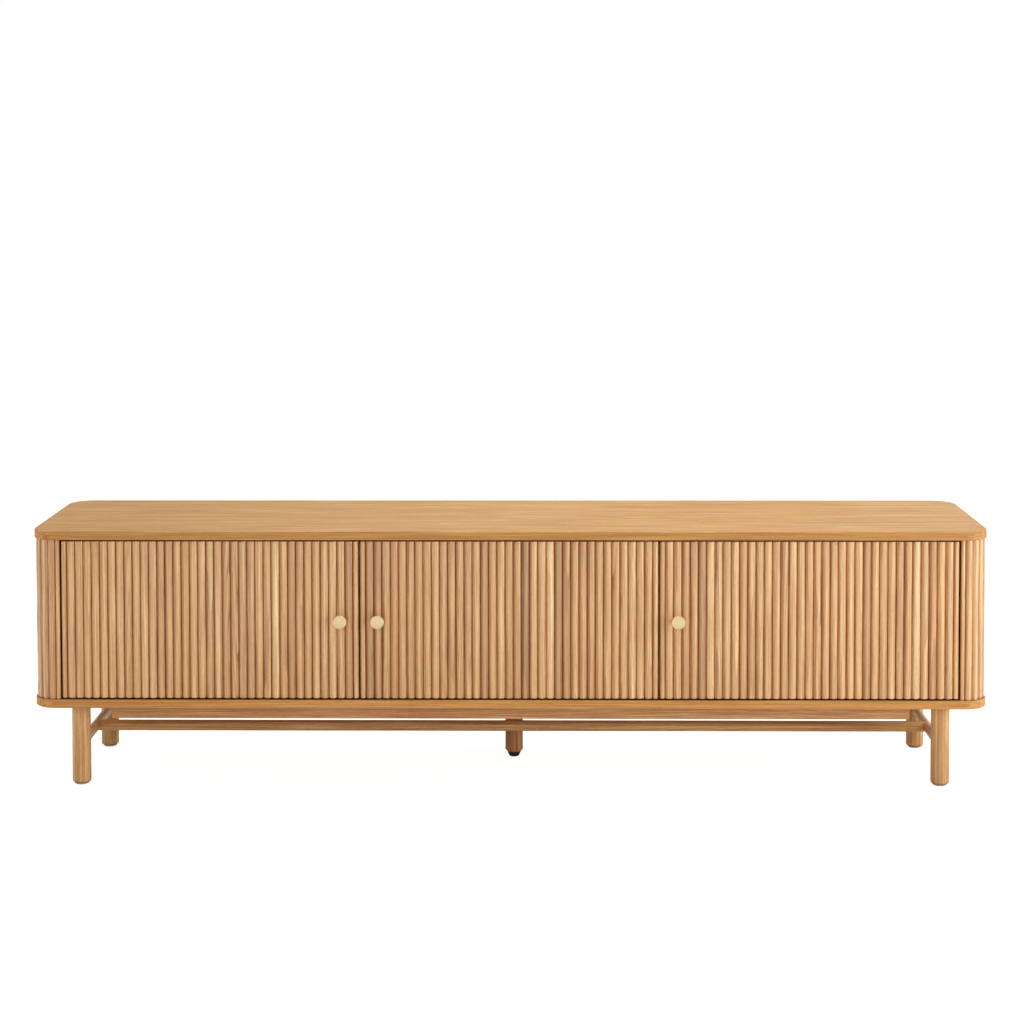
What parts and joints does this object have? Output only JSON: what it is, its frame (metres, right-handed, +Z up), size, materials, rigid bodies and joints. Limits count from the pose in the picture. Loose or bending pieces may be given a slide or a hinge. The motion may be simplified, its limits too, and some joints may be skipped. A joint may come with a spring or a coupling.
{
  "type": "media cabinet",
  "caption": "Long low oak media cabinet with fluted swing doors, fluted rounded ends, adjustable shelves and a round-leg underframe with stretchers.",
  "frame": {"origin": "on the floor, under the middle of the whole box, knobs included", "axes": "+X to the right seen from the doors, +Y to the back, +Z up"},
  "size_m": [2, 0.42, 0.548],
  "materials": {
    "oak_veneer": "clear matt lacquer on oak veneer",
    "oak_slats": "clear matt lacquer on solid oak slats",
    "oak_solid": "clear matt lacquer on solid oak",
    "inner_oak": "clear matt lacquer on oak-faced board",
    "dowel_beech": "plain",
    "brass": "satin brushed",
    "steel": "zinc plated",
    "nylon": "natural nylon",
    "catch_plastic": "brown moulded",
    "foot_black": "black moulded",
    "glide_grey": "grey moulded"
  },
  "bodies": {
    "carcass": {"back_panel_left": "inner_oak", "back_panel_middle": "inner_oak", "back_panel_right": "inner_oak", "bottom_panel": "oak_veneer", "carcass_dowels": "dowel_beech", "corner_post_front_left": "inner_oak", "corner_post_front_right": "inner_oak", "corner_post_rear_left": "inner_oak", "corner_post_rear_right": "inner_oak", "corner_slats_front_left": "oak_slats", "corner_slats_front_right": "oak_slats", "corner_slats_rear_left": "oak_slats", "corner_slats_rear_right": "oak_slats", "divider_left": "inner_oak", "divider_right": "inner_oak", "glides": "glide_grey", "hanger_bolts": "steel", "leg_front_left": "oak_solid", "leg_front_right": "oak_solid", "leg_inserts": "steel", "leg_rear_left": "oak_solid", "leg_rear_right": "oak_solid", "levelling_insert": "steel", "long_stretcher": "oak_solid", "magnetic_catches": "catch_plastic", "middle_leg": "oak_solid", "pivot_plates": "steel", "rail_front": "oak_solid", "rail_rear": "oak_solid", "shelf_left": "inner_oak", "shelf_middle": "inner_oak", "shelf_pins": "steel", "shelf_right": "inner_oak", "side_panel_left": "inner_oak", "side_panel_right": "inner_oak", "side_slats_left": "oak_slats", "side_slats_right": "oak_slats", "side_stretcher_left": "oak_solid", "side_stretcher_right": "oak_solid", "top_panel": "oak_veneer", "wood_screws": "steel"},
    "door_left": {"door_panel_left": "inner_oak", "door_slats_left": "oak_slats", "knob_left": "brass", "knob_screw_left": "steel", "pivot_bushes_left": "nylon", "strike_plate_left": "steel"},
    "door_middle": {"door_panel_middle": "inner_oak", "door_slats_middle": "oak_slats", "knob_middle": "brass", "knob_screw_middle": "steel", "pivot_bushes_middle": "nylon", "strike_plate_middle": "steel"},
    "door_right": {"door_panel_right": "inner_oak", "door_slats_right": "oak_slats", "knob_right": "brass", "knob_screw_right": "steel", "pivot_bushes_right": "nylon", "strike_plate_right": "steel"},
    "levelling_foot": {"levelling_foot": "foot_black"}
  },
  "joints": [
    {"name": "door_left_swing", "type": "hinge", "parent": "carcass", "child": "door_left", "pos_m": [-0.9135, -0.1735, 0.362], "axis": [0, 0, -1], "range_deg": [0, 105]},
    {"name": "door_middle_swing", "type": "hinge", "parent": "carcass", "child": "door_middle", "pos_m": [0.28883, -0.1735, 0.362], "axis": [0, 0, 1], "range_deg": [0, 105]},
    {"name": "door_right_swing", "type": "hinge", "parent": "carcass", "child": "door_right", "pos_m": [0.9135, -0.1735, 0.362], "axis": [0, 0, 1], "range_deg": [0, 105]},
    {"name": "foot_levelling", "type": "slide", "parent": "carcass", "child": "levelling_foot", "axis": [0, 0, 1], "range_m": [-0.008, 0]}
  ]
}
